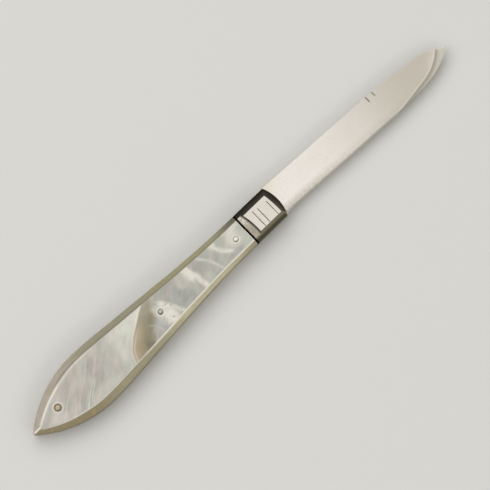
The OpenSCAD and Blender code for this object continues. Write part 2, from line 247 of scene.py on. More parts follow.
# The spine is straight, then follows two arcs: centre and radius of each
SPINE_UP = 3.78
SPINE_ARC = (-27.19, -196.22, 200.0)
NOSE_ARC = (-8.75, -8.15, 11.03)
NOSE_START = -7.67
# Slope of the beak's upper side, in degrees
BEAK_SLOPE = 16.5
# Stretches along the blade, from the butt: where painted shade deepens towards the point, where the
# painted shade along its edge weakens, the painted warm light at the bolster, and the painted light
# beside the facet
POINT_SHADE = (96.0, 134.0)
EDGE_SHADE = (90.0, 112.0)
WARM_END = (85.0, 92.0)
FACET_LIGHT = (134.0, 139.0)
# Two old scratches at the spine of the front face: place from the tip and height of the upper end,
# length, half width, strength
SCRATCHES = (
    (-24.05, 3.65, 2.0, 0.2, 0.95),
    (-22.0, 3.45, 1.6, 0.2, 0.9),
)


def from_tip(s, x, y):
    """Place from the tip, along the blade and up towards its spine."""
    moved = s.combine(s.sub(x, TIP_X), s.sub(y, TIP_Y), 0.0)
    return s.moved(moved, rotation=(0, 0, math.radians(BLADE_DROP)))


def facet_distance(s, place):
    """Distance below the inner side of the point facet, a straight line that bends into an arc."""
    at_bend = s.moved(place, (-FACET_BEND[0], -FACET_BEND[1], 0))
    along, up, _ = s.split(s.moved(at_bend, rotation=(0, 0, -math.radians(FACET_SLOPE))))
    round_part = s.outside_circle(along, up, 0.0, FACET_R, FACET_R)
    return s.choose(s.maths("GREATER_THAN", along, 0.0), round_part, s.mul(up, -1.0))


def spine_distance(s, along, up):
    """Distance below the spine."""
    middle = s.mul(s.outside_circle(along, up, *SPINE_ARC), -1.0)
    nose = s.mul(s.outside_circle(along, up, *NOSE_ARC), -1.0)
    distance = s.choose(s.maths("GREATER_THAN", along, SPINE_ARC[0]), middle, s.sub(SPINE_UP, up))
    return s.choose(s.maths("GREATER_THAN", along, NOSE_START), nose, distance)


def blade_face(s, p, x, y, colour):
    """Darkens the blade towards its point and along its edge as painted shade, with painted warm light at
    the bolster.
    """
    # Painted shade towards the point
    colour = s.mix(s.ramp(x, *POINT_SHADE, 0.0, 0.92), colour, srgb(206, 199, 186))
    above_edge = s.sub(s.add(y, s.mul(x, math.tan(math.radians(BLADE_DROP)))), EDGE_Y)
    # Painted shade along the edge, broken up by the grain
    low = s.mul(s.fade(above_edge, 0.3, 2.4), s.ramp(x, *EDGE_SHADE, 0.7, 0.3))
    fine = s.streaks(p, 88, 3.0, 0.2, 4.0, 0.7)
    colour = s.mix(s.mul(low, s.ramp(fine, 0.3, 0.6, 0.5, 1.0)), colour, srgb(194, 187, 171))
    # Painted warm light at the bolster
    warm = s.mul(s.fade(x, *WARM_END), s.ramp(y, 1.0, 4.5))
    colour = s.mix(s.mul(warm, 0.5), colour, srgb(240, 230, 200))
    return s.mix(s.ramp(fine, 0.5, 0.75, 0.0, 0.25), colour, srgb(210, 203, 190))


def point_facet(s, place, x, colour):
    """A facet painted lighter as a reflection, with painted shade along its inner side, a thin painted
    highlight on the edge between, and painted light beside it.
    """
    facet = facet_distance(s, place)
    # Painted reflection: the facet lighter away from its inner side
    colour = s.mix(s.ramp(facet, 0.5, 1.4, 0.0, 0.65), colour, srgb(252, 247, 230))
    # Painted shade along the facet's inner side
    colour = s.mix(s.mul(s.band(facet, 0.3, 0.5), 0.55), colour, srgb(190, 187, 172))
    # Painted highlight on the edge between face and facet
    colour = s.mix(s.mul(s.band(facet, -0.1, 0.25), 0.55), colour, srgb(244, 238, 224))
    # Painted light on the face beside the facet
    beside = s.mul(s.ramp(facet, -2.4, -0.4), s.ramp(facet, 0.0, 0.1, 0.35, 0.0))
    return s.mix(s.mul(s.ramp(x, *FACET_LIGHT), beside), colour, srgb(240, 233, 216))


def spine_light(s, place, colour):
    """Painted highlight along the spine, stronger towards the point, and on the beak at the tip."""
    along, up, _ = s.split(place)
    spine = s.mul(s.fade(spine_distance(s, along, up), 0.15, 0.45), s.fade(along, -3.4, -2.4))
    # Painted highlight along the spine
    colour = s.mix(s.mul(spine, s.ramp(along, -50.0, -15.0, 0.35, 0.85)), colour, srgb(254, 250, 242))
    # Painted highlight on the beak
    beak = s.moved(place, rotation=(0, 0, math.radians(BEAK_SLOPE)))
    beak_light = s.mul(s.ramp(s.split(beak)[1], -0.9, -0.1), s.ramp(along, -3.0, -1.6))
    return s.mix(s.mul(beak_light, 0.9), colour, srgb(255, 254, 240))


def old_scratches(s, p, x, y, colour):
    """Scratches that waver a little and are broken by the grain, on the front face only."""
    wander = s.mul(s.sub(s.noise(p, 1.1), 0.5), 0.35)
    grain = s.noise(s.moved(p, scale=(4.0, 1.2, 1.0)), 1.0, 3.0, 0.7)
    front = s.ramp(s.normal()[2], 0.7, 0.9)
    for at, top, length, half, strength in SCRATCHES:
        across = s.add(s.sub(x, TIP_X + at), wander)
        extent = s.mul(s.between(y, top - length, top, 0.3), front)
        mark = s.mul(s.band(across, 0.0, half + 0.1), extent, s.ramp(grain, 0.25, 0.55, 0.35, 1.0))
        colour = s.mix(s.mul(mark, strength), colour, srgb(88, 80, 70))
    return colour


def blade_marks(s, p, colour):
    """What the blade has beyond plain silver: its face, facet, spine and scratches in turn."""
    x, y, _ = s.split(p)
    place = from_tip(s, x, y)
    colour = blade_face(s, p, x, y, colour)
    colour = point_facet(s, place, x, colour)
    colour = spine_light(s, place, colour)
    return old_scratches(s, p, x, y, colour)


# Grime and painted shade in the gap between scale and bolster
SEAM_GRIME_AND_SHADE = srgb(14, 11, 7)

# The step at the bolster's scale end: its length, and the radius and bow of its wall
STEP_LEN = 2.3
STEP_R = 21.0
STEP_BOW = -2.0
# The painted highlight on the corner between the front and the lower bevel, as x + slope * y = place
CORNER_HIGHLIGHT_SLOPE = 0.45
CORNER_HIGHLIGHT_PLACE = 83.41
# How far into the bolster the dark of the engraved lines fades out
LINES_FADE = (7.0, 7.5)


def bolster_bevels(s, y, nx, depth, steep, colour):
    """Painted shade in the bevels, for the dark walls they reflect: dark on the spine side, lighter on
    the slot side, darkest outside.
    """
    lower = s.ramp(y, 1.0, -2.0)
    # Painted shade, darker on the spine side
    colour = s.mix(s.mul(steep, 0.85), colour, s.mix(lower, srgb(107, 102, 96), srgb(166, 162, 142)))
    # Painted shade, darkest on the outer part of the bevels
    outer = s.mul(steep, s.ramp(depth, 0.45, 0.8))
    colour = s.mix(s.mul(outer, 0.8), colour, srgb(92, 86, 74))
    # Painted reflection: the middle of the front bevel turned a mid grey, most towards the slot
    front = s.mul(s.ramp(nx, 0.3, 0.5), s.between(depth, 0.35, 0.95, 0.2))
    return s.mix(s.mul(front, s.ramp(y, 1.5, -1.5, 0.15, 0.6)), colour, srgb(140, 132, 122))


def step_floor_and_shade(s, p, x, y):
    """The colour of the step's floor: hatched, mottled, painted lighter towards the spine side as a
    highlight, and painted shade towards its wall.
    """
    hatch = s.either(s.streaks(p, 40, 3.0, 0.3), s.streaks(p, -50, 3.0, 0.3))
    # Painted highlight: lighter towards the spine side, darker towards the slot
    stain_and_shade = s.mix(s.ramp(y, -1.0, 2.8), srgb(186, 179, 162), srgb(236, 230, 215))
    stain_and_shade = s.mix(s.ramp(hatch, 0.45, 0.7, 0.0, 0.6), stain_and_shade, srgb(152, 144, 128))
    mottle = s.noise(p, 2.2, 4.0, 0.75)
    stain_and_shade = s.mix(s.ramp(mottle, 0.48, 0.62, 0.0, 0.6), stain_and_shade, srgb(136, 128, 112))
    # Painted shade towards the wall
    to_wall = s.outside_circle(x, y, BOLSTER_X + STEP_LEN - STEP_R, STEP_BOW, STEP_R)
    return s.mix(s.ramp(to_wall, -0.9, -0.2, 0.0, 0.9), stain_and_shade, srgb(92, 86, 75))


def bolster_marks(s, p, colour):
    """Painted shade in bevels, tarnish in engraved lines, the step, painted highlights on wall top and
    corner, seam grime and shade.
    """
    x, y, z = s.split(p)
    nx, _, nz = s.normal()
    steep = s.fade(s.absolute(nz), 0.82, 0.92)
    depth = below_face(s, z)
    colour = bolster_bevels(s, y, nx, depth, steep, colour)
    cut = s.mul(s.ramp(s.absolute(nx), 0.5, 0.65), s.fade(depth, 0.36, 0.42))
    line = s.mul(cut, s.ramp(x, BOLSTER_X + LINES_FADE[0], BOLSTER_X + LINES_FADE[1], 0.4, 0.0))
    colour = s.mix(line, colour, srgb(84, 78, 68))
    floor = s.mul(s.between(depth, 0.3, 0.4, 0.02), s.sub(1.0, steep))
    colour = s.mix(floor, colour, step_floor_and_shade(s, p, x, y))
    # Painted highlight along the top of the step's wall, on the spine side
    wall_top_highlight = s.mul(s.ramp(nx, -0.5, -0.65), s.ramp(depth, 0.42, 0.36), s.ramp(y, 1.0, 2.8, 0.0, 0.8))
    colour = s.mix(wall_top_highlight, colour, srgb(216, 210, 194))
    # Painted highlight along the corner between the front and the lower bevel
    corner = s.band(s.add(x, s.mul(y, CORNER_HIGHLIGHT_SLOPE)), CORNER_HIGHLIGHT_PLACE, 0.28)
    corner = s.mul(corner, steep, s.ramp(y, -2.8, -3.2))
    colour = s.mix(s.mul(corner, 0.55), colour, srgb(222, 216, 198))
    # Grime and painted shade along the bolster's edge at the seam
    return s.mix(s.ramp(x, BOLSTER_X + 0.04, BOLSTER_X + 0.14, 0.9, 0.0), colour, SEAM_GRIME_AND_SHADE)


def liner_marks(s, p, colour):
    """Grime and painted shade in the gap between scale and bolster."""
    x, _, _ = s.split(p)
    gap = s.between(x, SCALE_END - 0.2, BOLSTER_X + 0.2, 0.1)
    return s.mix(gap, colour, SEAM_GRIME_AND_SHADE)


def paint(node, material):
    for slot in NODES[node].material_slots:
        slot.material = material


BLADE_SILVER = silver("blade_finish", srgb(254, 249, 243), srgb(240, 234, 223),
                      rough=0.2, grain_angle=8, tarnish=0.4, marks=blade_marks)
BOLSTER_SILVER = silver("bolster_finish", srgb(232, 226, 216), srgb(214, 206, 190),
                        rough=0.16, grain_angle=80, tarnish=0.4, marks=bolster_marks)
LINER_SILVER = silver("liner_finish", srgb(150, 142, 124), srgb(84, 74, 58),
                      rough=0.34, grain_angle=0, tarnish=0.8, marks=liner_marks)
SPRING_STEEL = silver("spring_finish", srgb(158, 157, 154), srgb(96, 90, 82),
                      rough=0.34, grain_angle=0, tarnish=0.6)
BUTT_PIN_SILVER = silver("butt_pin_finish", srgb(208, 195, 164), srgb(182, 166, 134),
                         rough=0.4, grain_angle=30, tarnish=0.6)
MIDDLE_PIN_SILVER = silver("middle_pin_finish", srgb(212, 205, 188), srgb(186, 176, 156),
                           rough=0.36, grain_angle=30, tarnish=0.6)
NECK_PIN_SILVER = silver("neck_pin_finish", srgb(255, 254, 238), srgb(250, 247, 226),
                         rough=0.16, grain_angle=30, tarnish=0.2)


# Mother of pearl, laid out in millimetres from the butt as the front scale shows it

GREY = srgb(202, 194, 183)
PINK_GREY = srgb(168, 159, 154)
COOL_GREY = srgb(173, 170, 162)
GREEN_GREY = srgb(196, 197, 184)
CREAM = srgb(209, 206, 193)
IVORY = srgb(246, 241, 228)
TAN = srgb(186, 166, 132)
BROWN = srgb(162, 146, 114)
OLIVE = srgb(140, 129, 98)
DARK_BROWN = srgb(118, 102, 78)
BLUSH = srgb(220, 202, 184)

# Painted highlight on the rounded ridges, the mitre and the arcs near the butt
RIDGE_HIGHLIGHT = srgb(254, 248, 236)

# The growth line that crosses the scale, as a circle: centre and radius
GROWTH_LINE = (46.5, -10.6, 15.74)
# Where the far side of that circle would come back, so only its near side is drawn
GROWTH_END = 47.0

# Patches of the shell: middle, half sizes, colour and strength
PATCHES = (
    ((22.6, 1.6), (2.6, 2.6), PINK_GREY, 0.68),
    ((16.0, -1.2), (5.0, 1.6), PINK_GREY, 0.35),
    ((25.8, -0.6), (1.2, 4.5), srgb(184, 184, 176), 0.55),
    ((22.5, -4.6), (4.5, 1.4), CREAM, 0.55),
    ((35.5, 3.8), (4.6, 1.4), IVORY, 0.5),
    ((31.0, -0.5), (1.4, 4.0), IVORY, 0.2),
    ((28.4, 3.0), (1.6, 2.0), srgb(190, 188, 178), 0.6),
    ((7.6, -1.6), (2.2, 1.4), srgb(216, 210, 201), 0.8),
)
# Patches beyond the growth line
INNER_PATCHES = (
    ((42.6, 3.4), (3.4, 1.4), srgb(160, 152, 130), 0.85),
    ((40.6, 0.9), (1.3, 1.5), srgb(146, 141, 124), 0.7),
    ((42.5, -2.7), (1.4, 2.0), srgb(170, 171, 170), 0.75),
    ((44.0, 0.9), (1.2, 1.3), IVORY, 0.5),
    ((44.2, -1.4), (1.2, 2.4), srgb(206, 204, 196), 0.6),
    ((38.4, -3.5), (1.6, 1.7), srgb(142, 131, 111), 0.9),
    ((46.3, -2.6), (1.9, 2.2), IVORY, 1.0),
    ((45.2, -0.2), (1.7, 1.4), IVORY, 0.4),
    ((46.2, 0.8), (1.1, 1.3), IVORY, 0.6),
    ((50.6, 0.9), (1.6, 1.8), srgb(168, 172, 170), 0.6),
    ((53.8, 2.2), (1.6, 2.2), CREAM, 0.5),
    ((52.2, -1.2), (1.6, 2.0), srgb(150, 149, 144), 0.65),
    ((55.4, -0.8), (1.3, 1.8), CREAM, 0.4),
    ((56.4, 2.2), (1.3, 2.4), IVORY, 0.95),
    ((58.0, -1.8), (0.7, 2.2), IVORY, 0.7),
    ((60.0, 0.8), (1.2, 2.6), srgb(172, 171, 162), 0.6),
    ((59.9, -2.0), (1.5, 1.4), CREAM, 0.5),
    ((65.2, -0.9), (1.6, 2.0), srgb(170, 169, 162), 0.7),
    ((65.6, 3.1), (1.1, 0.8), IVORY, 0.6),
    ((68.6, 2.4), (1.3, 1.0), srgb(178, 175, 165), 0.6),
    ((70.9, 0.7), (2.3, 1.9), IVORY, 0.5),
    ((72.2, 2.9), (2.6, 0.8), IVORY, 0.5),
    ((68.9, -2.5), (2.2, 0.8), srgb(156, 157, 156), 0.7),
    ((73.4, -1.0), (1.2, 1.8), srgb(206, 210, 196), 0.5),
)
# Dark bands just beyond the growth line: distance from it, half width, heights, colour, strength
BROWN_BANDS = (
    (1.0, 0.9, (-6.0, 1.2), TAN, 0.7),
    (3.6, 2.0, (-4.0, 2.6), OLIVE, 0.9),
    (4.5, 1.0, (-3.4, 0.8), srgb(128, 118, 96), 0.5),
)
# Small dark spots beyond the growth line: middle, radius and strength
SPOTS = (
    ((37.3, -4.5), 1.1, 0.8),
    ((47.6, -0.6), 0.35, 0.45),
    ((46.4, -3.2), 0.35, 0.45),
    ((47.0, 0.5), 0.25, 0.4),
)
# Thin bright lines on the butt side: centre, radius, half width, ends along and strength
BUTT_LINES = (
    (34.3, -24.6, 30.0, 0.28, (12.2, 17.6), 0.55),
    (36.2, -26.0, 30.0, 0.3, (13.8, 19.6), 0.6),
    (38.0, -25.4, 30.0, 0.25, (16.4, 21.0), 0.5),
    (29.4, -24.4, 30.0, 0.35, (8.6, 13.6), 0.4),
    (42.4, -21.2, 30.0, 0.6, (19.4, 25.0), 0.3),
    (40.6, -19.8, 30.0, 0.5, (18.0, 22.6), 0.25),
)
# Bright wisps beyond the growth line: centre, radius, half width, ends along and strength
WISPS = (
    (30.9, -11.5, 20.0, 1.0, (45.4, 50.2), 0.8),
    (40.1, -4.7, 18.15, 1.1, (55.0, 59.0), 1.0),
    (36.4, -4.7, 21.0, 0.3, (55.0, 58.0), 0.6),
    (51.3, -6.3, 13.26, 0.75, (60.4, 64.4), 0.5),
    (72.9, 5.1, 7.75, 1.0, (64.2, 69.0), 1.0),
    (37.2, -4.6, 5.0, 0.3, (40.2, 42.6), 0.25),
)
# How far along the rear scale's pattern is shifted, so that it doesn't repeat the front
REAR_SHIFT = 21.0
# Faint clouds of colour all over: offset, scale of the noise, colour and strength
SHEEN = (
    ((0.0, 0.0, 0.0), 0.45, srgb(214, 192, 184), 0.3),
    ((7.0, 3.0, 0.0), 0.4, srgb(182, 192, 180), 0.25),
    ((3.0, 9.0, 0.0), 0.6, srgb(226, 220, 206), 0.2),
    ((5.0, 1.0, 0.0), 0.6, srgb(150, 144, 136), 0.15),
)
# Direction of the growth bands, in degrees from x
GROWTH_ANGLE = 42

# Colours of the bevels: near the butt, along the belly, along the neck and at the bolster. They hold
# painted shade, darkest on the spine side at the bolster and lightest on the slot side along the neck
UPPER_BEVEL = (srgb(193, 182, 170), srgb(160, 155, 134), srgb(163, 159, 128), srgb(98, 96, 82))
LOWER_BEVEL = (srgb(158, 144, 112), srgb(178, 170, 144), srgb(220, 212, 180), srgb(178, 170, 142))

# Where the polished flat ends near the butt, as arcs: centre and radius
UPPER_EDGE = (21.88, -30.21, 35.97)
LOWER_EDGE = (18.95, 24.17, 29.89)
# Where those arcs give way to the ground edges, and where the mitre at the butt ends
UPPER_EDGE_END = (20.0, 24.0)
LOWER_EDGE_END = (14.0, 18.0)
MITRE_END = 2.3
# The film of colour on the polished shell: thickness in nanometres and index. Relief in millimetres
FILM_NM = 330.0
FILM_INDEX = 1.45
RELIEF_DEPTH = 0.004

# Pins in the face: place, radius of the hole darkened by grime and painted shade, its colour, radius
# of the pale rim, and how far the dark lies towards the butt and the slot
PIN_HOLES = (
    (BUTT_PIN, 0.94, srgb(134, 121, 96), 1.38, 0.0),
    (MIDDLE_PIN, 0.6, srgb(112, 102, 84), 1.08, 0.15),
    (NECK_PIN, 0.6, srgb(170, 165, 144), 1.0, 0.13),
)


def patches(s, colour, x, y, group):
    """Lays soft ellipses of colour over one another."""
    for at, size, tint, strength in group:
        colour = s.mix(s.mul(s.patch(x, y, at, size), strength), colour, tint)
    return colour


def wisps(s, colour, x, y, ripple, group):
    """Draws bright arcs that waver a little and fade in places."""
    fading = s.ramp(s.noise(s.combine(x, y, 0.0), 0.5, 2.0), 0.3, 0.6, 0.45, 1.0)
    for centre_x, centre_y, radius, half, (start, end), strength in group:
        away = s.add(s.outside_circle(x, y, centre_x, centre_y, radius), s.mul(ripple, 0.3))
        wisp = s.mul(s.band(away, 0.0, half), s.between(x, start, end, 0.6), fading, strength)
        colour = s.mix(wisp, colour, IVORY)
    return colour


def butt_side(s, p, x, y, wavy, ripple):
    """The shell up to the growth line: grey and finely striped, with thin bright lines."""
    broad = s.streaks(p, GROWTH_ANGLE + 6, 0.3, 0.3)
    thin = s.streaks(p, GROWTH_ANGLE, 1.7, 0.1)
    colour = s.mix(s.ramp(broad, 0.38, 0.62), GREY, srgb(184, 176, 167))
    colour = s.mix(s.ramp(x, 26.0, 32.0), colour, srgb(211, 209, 197))
    colour = patches(s, colour, *wavy, PATCHES)
    striped = s.mul(s.between(x, 10.0, 24.0, 3.0), s.ramp(y, 3.0, -1.0, 0.1, 1.0))
    colour = s.mix(s.mul(s.ramp(thin, 0.52, 0.64), striped, 0.6), colour, srgb(210, 204, 195))
    colour = s.mix(s.mul(s.ramp(thin, 0.48, 0.38), striped, 0.22), colour, srgb(168, 159, 150))
    return wisps(s, colour, x, y, ripple, BUTT_LINES)


def neck_side(s, p, x, y, wavy, ripple, deep, left, near):
    """The shell beyond the growth line: brown next to it, then grey with patches and wisps."""
    inner = s.mix(s.ramp(x, 56.0, 72.0), COOL_GREY, GREEN_GREY)
    inner = s.mix(near, inner, BROWN)
    inner = patches(s, inner, *wavy, INNER_PATCHES)
    for distance, half, (bottom, top), tint, strength in BROWN_BANDS:
        zone = s.mul(s.band(deep, distance, half), s.between(y, bottom, top, 1.6), left)
        inner = s.mix(s.mul(zone, strength), inner, tint)
    inner = wisps(s, inner, x, y, ripple, WISPS)
    for at, radius, strength in SPOTS:
        spot = s.patch(*wavy, at, (radius, radius), 0.6)
        inner = s.mix(s.mul(spot, strength), inner, DARK_BROWN)
    fine = s.ramp(s.streaks(p, 0, 4.0, 0.05), 0.5, 0.62)
    lines = s.mul(fine, s.ramp(y, -1.6, -2.2), s.ramp(x, 49.0, 51.0))
    inner = s.mix(s.mul(lines, 0.35), inner, srgb(150, 148, 138))
    dots = s.mul(s.ramp(s.noise(p, 1.3, 2.0), 0.58, 0.68), s.patch(x, y, (47.2, -1.4), (2.4, 3.2)))
    return s.mix(s.mul(dots, 0.35), inner, srgb(160, 150, 138))


def growth_line(s, y, outside, left, colour):
    """The pale line, with light and shade along its butt side and a blush just beyond it."""
    line = s.mix(s.ramp(y, -3.0, 1.0), BLUSH, srgb(240, 235, 220))
    colour = s.mix(s.mul(s.band(outside, 0.25, 0.5), left, 0.85), colour, line)
    upper = s.mul(s.band(outside, 0.9, 1.3), left, s.ramp(y, -1.0, 1.4, 0.0, 0.75))
    colour = s.mix(upper, colour, srgb(236, 233, 220))
    beyond = s.mul(s.band(outside, -0.5, 0.48), left, s.ramp(y, 2.0, -1.0, 0.15, 0.7))
    colour = s.mix(beyond, colour, BLUSH)
    shade = s.mul(s.band(outside, 0.85, 0.4), left, s.ramp(y, 1.0, -2.0, 0.0, 0.35))
    return s.mix(shade, colour, srgb(172, 160, 158))


def pearl_colour(s, p):
    """The colour of the polished face, on both sides of the growth line."""
    ripple = s.mul(s.sub(s.noise(p, 0.35, 3.0, 0.6), 0.5), 2.4)
    x, y, _ = s.split(p)
    wavy = s.add(x, ripple), s.add(y, s.mul(ripple, 0.4))

    dent = s.sub(s.mul(s.band(x, 38.0, 5.0), 0.62), s.ramp(y, -0.5, -3.0, 0.0, 0.3))
    outside = s.add(s.outside_circle(x, y, *GROWTH_LINE), s.add(s.mul(ripple, 0.08), dent))
    deep = s.sub(s.mul(outside, -1.0), s.mul(ripple, 0.35))
    left = s.fade(x, 41.2, 44.2)
    near = s.mul(s.fade(deep, 3.4, 6.4), s.fade(x, 42.2, 45.2))
    crossed = s.either(s.ramp(outside, 0.12, -0.12), s.ramp(x, GROWTH_END - 0.2, GROWTH_END))

    colour = butt_side(s, p, x, y, wavy, ripple)
    inner = neck_side(s, p, x, y, wavy, ripple, deep, left, near)
    colour = growth_line(s, y, outside, left, s.mix(crossed, colour, inner))
    clear = s.mul(s.sub(1.0, s.mul(near, crossed, 0.75)), s.ramp(x, 5.0, 14.0, 0.5, 1.0))
    for offset, scale, tint, strength in SHEEN:
        cloud = s.streaks(s.moved(p, offset), GROWTH_ANGLE, scale, 0.4, 2.0)
        colour = s.mix(s.mul(s.ramp(cloud, 0.4, 0.7, 0.0, strength), clear), colour, tint)
    return colour


def along_bevel(s, x, colours):
    """Fades through the four colours of a bevel from the butt to the bolster."""
    butt, belly, neck, end = colours
    colour = s.mix(s.ramp(x, 10.0, 30.0), butt, belly)
    colour = s.mix(s.ramp(x, 36.0, 52.0), colour, neck)
    return s.mix(s.ramp(x, 66.0, 75.0), colour, end)


def bevel_mask(s, x, y, nz, above_edge, below_edge, upper, lower):
    """1 on the bevels, 0 on the flat and at the pins. Near the butt the arcs are the border."""
    # Near the butt a strip of the flat is painted as bevel, with its painted shade, and a strip of the
    # lower bevel as flat
    painted_as_bevel = s.mul(s.ramp(above_edge, 0.15, 0.35), upper, s.fade(x, *UPPER_EDGE_END))
    painted_as_flat = s.mul(s.ramp(below_edge, 0.05, -0.1), lower, s.fade(x, *LOWER_EDGE_END))
    bevel = s.mul(s.either(s.fade(nz, 0.85, 0.9), painted_as_bevel), s.sub(1.0, painted_as_flat))
    for pin, _, _, rim, _ in PIN_HOLES:
        bevel = s.mul(bevel, s.ramp(s.outside_circle(x, y, pin.x, pin.y, rim), -0.1, 0.0))
    return bevel


def bevel_paint(s, p, x, depth, upper, lower):
    """Layered shell stained ochre and moss over colours with painted shade, dark inside on the spine side
    and outside on the other.
    """
    colour = s.mix(upper, along_bevel(s, x, LOWER_BEVEL), along_bevel(s, x, UPPER_BEVEL))
    layers = s.noise(s.moved(p, scale=(0.12, 0.8, 5.0)), 1.0, 3.0, 0.6)
    colour = s.mix(s.ramp(layers, 0.4, 0.7, 0.0, 0.35), colour, srgb(140, 131, 100))
    ochre = s.noise(p, 0.5, 4.0, 0.7)
    colour = s.mix(s.ramp(ochre, 0.5, 0.7, 0.0, 0.35), colour, srgb(204, 176, 122))
    moss = s.noise(s.moved(p, (4.0, 0.0, 0.0)), 0.6, 4.0, 0.7)
    colour = s.mix(s.ramp(moss, 0.5, 0.7, 0.0, 0.35), colour, srgb(160, 164, 128))
    inner_line = s.mul(s.fade(depth, 0.25, 0.45), upper, s.ramp(x, 9.0, 16.0))
    colour = s.mix(s.mul(inner_line, 0.5), colour, srgb(128, 124, 106))
    # Painted shade along the outer rim on the slot side
    rim = s.mul(s.ramp(depth, 1.0, 1.3), lower)
    return s.mix(s.mul(rim, 0.4), colour, srgb(120, 108, 80))


def ridge_highlight_mask(s, p, x, nz, depth, bevel, upper, lower):
    """How strong the painted highlight is on the rounded edges between flat and bevels, most on the slot
    side.
    """
    steepest = s.ramp(x, 25.0, 55.0, 0.87, 0.8)
    ridge = s.mul(s.ramp(s.sub(nz, steepest), 0.0, 0.03), s.fade(nz, 0.99, 0.999))
    # Painted highlight spread onto the slot-side bevel beside its ridge
    spread = s.mul(s.fade(depth, 0.18, 0.36), bevel, lower, s.ramp(x, 30.0, 44.0))
    ridge = s.either(ridge, s.mul(spread, s.ramp(s.noise(p, 0.7, 2.0), 0.3, 0.5, 0.75, 1.0)))
    upper_highlight = s.mul(upper, s.ramp(x, 20.0, 26.0, 0.0, 0.08))
    lower_highlight = s.mul(lower, s.ramp(x, 12.0, 18.0, 0.1, 0.5), s.ramp(x, 22.0, 36.0, 1.0, 2.0))
    return s.mul(ridge, s.add(upper_highlight, lower_highlight))


def arc_highlight_mask(s, x, above_edge, below_edge, upper, lower):
    """How strong the painted highlight is along the arcs near the butt, from the mitre on."""
    from_mitre = s.ramp(x, MITRE_END, MITRE_END + 0.7)
    upper_line = s.mul(s.band(above_edge, 0.0, 0.55), upper, s.ramp(x, 11.5, 14.5, 0.72, 0.4))
    upper_line = s.mul(upper_line, from_mitre, s.fade(x, 22.0, 27.0))
    lower_line = s.mul(s.band(below_edge, -0.25, 0.4), lower, from_mitre, s.ramp(x, 12.0, 18.0, 0.4, 0.0))
    return s.add(upper_line, lower_line)


def pin_grime_and_shade(s, x, y, colour):
    """A pale rim and a hole round each pin, darkened with grime and painted shade that lies towards the
    butt and slot side.
    """
    for pin, hole, stain_and_shade, rim, off in PIN_HOLES:
        distance = s.outside_circle(x, y, pin.x, pin.y, 0.0)
        colour = s.mix(s.mul(s.band(distance, rim, 0.3), 0.4), colour, IVORY)
        # The dark hole, set off centre for its painted shade
        distance = s.outside_circle(x, y, pin.x - off, pin.y - off, 0.0)
        colour = s.mix(s.fade(distance, hole - 0.05, hole + 0.12), colour, stain_and_shade)
    return colour


def pearl():
    """Mother of pearl with growth bands, bevels in painted shade, painted highlights on ridges, and
    grimy, shaded pin holes.
    """
    material, s = new_material("pearl_finish")
    p = s.place()
    x, y, z = s.split(p)
    rear = s.maths("LESS_THAN", z, MID_Z)
    mirrored = s.sub(1.0, s.mul(rear, 2.0))
    shell = s.combine(s.add(x, s.mul(rear, REAR_SHIFT)), s.mul(y, mirrored), 0.0)

    nz = s.absolute(s.normal()[2])
    depth = below_face(s, z)
    upper = s.ramp(y, -0.2, 0.2)
    lower = s.sub(1.0, upper)
    above_edge = s.outside_circle(x, y, *UPPER_EDGE)
    below_edge = s.outside_circle(x, y, *LOWER_EDGE)
    bevel = bevel_mask(s, x, y, nz, above_edge, below_edge, upper, lower)

    colour = s.mix(bevel, pearl_colour(s, shell), bevel_paint(s, p, x, depth, upper, lower))
    colour = s.mix(ridge_highlight_mask(s, p, x, nz, depth, bevel, upper, lower), colour, RIDGE_HIGHLIGHT)
    colour = s.mix(arc_highlight_mask(s, x, above_edge, below_edge, upper, lower), colour, RIDGE_HIGHLIGHT)
    # Painted highlight along the mitre at the butt
    mitre = s.mul(s.band(y, 0.0, 0.44), s.fade(x, MITRE_END, MITRE_END + 0.6), s.ramp(x, 0.1, 0.6))
    colour = s.mix(mitre, colour, RIDGE_HIGHLIGHT)
    # Grime and painted shade along the scale's end at the seam
    seam_grime_and_shade = s.ramp(x, SCALE_END - 0.06, SCALE_END - 0.01, 0.0, 0.8)
    colour = pin_grime_and_shade(s, x, y, s.mix(seam_grime_and_shade, colour, SEAM_GRIME_AND_SHADE))
    relief = s.streaks(shell, GROWTH_ANGLE, 1.4, 0.15)
    s.surface(Base_Color=colour, Roughness=0.26, Coat_Weight=0.5, Coat_Roughness=0.08,
              Thin_Film_Thickness=FILM_NM, Thin_Film_IOR=FILM_INDEX,
              Normal=s.bump(relief, RELIEF_DEPTH))
    return material


PEARL = pearl()

FINISHES = {
    "blade": BLADE_SILVER,
    "back_spring": SPRING_STEEL,
    "front_liner": LINER_SILVER,
    "rear_liner": LINER_SILVER,
    "front_bolster": BOLSTER_SILVER,
    "rear_bolster": BOLSTER_SILVER,
    "front_scale": PEARL,
    "rear_scale": PEARL,
    "pivot_pin": BOLSTER_SILVER,
    "spring_pin": SPRING_STEEL,
    "butt_pin": BUTT_PIN_SILVER,
    "front_middle_pin": MIDDLE_PIN_SILVER,
    "rear_middle_pin": MIDDLE_PIN_SILVER,
    "front_neck_pin": NECK_PIN_SILVER,
    "rear_neck_pin": NECK_PIN_SILVER,
}
for node, material in FINISHES.items():
    paint(node, material)


# Rounded edges

# Edges that stay sharp in shading, by angle in degrees: corners everywhere, and the lines between
# ground faces where the surface looks almost straight up or down
CORNER_ANGLE = 28
GROUND_ANGLE = 2.5
GROUND_NORMAL = 0.9
# The weld in millimetres, the angle of seams that are cleared, and the steps of a rounded edge
WELD = 0.0005
SEAM_ANGLE = 0.4
ROUND_STEPS = 2


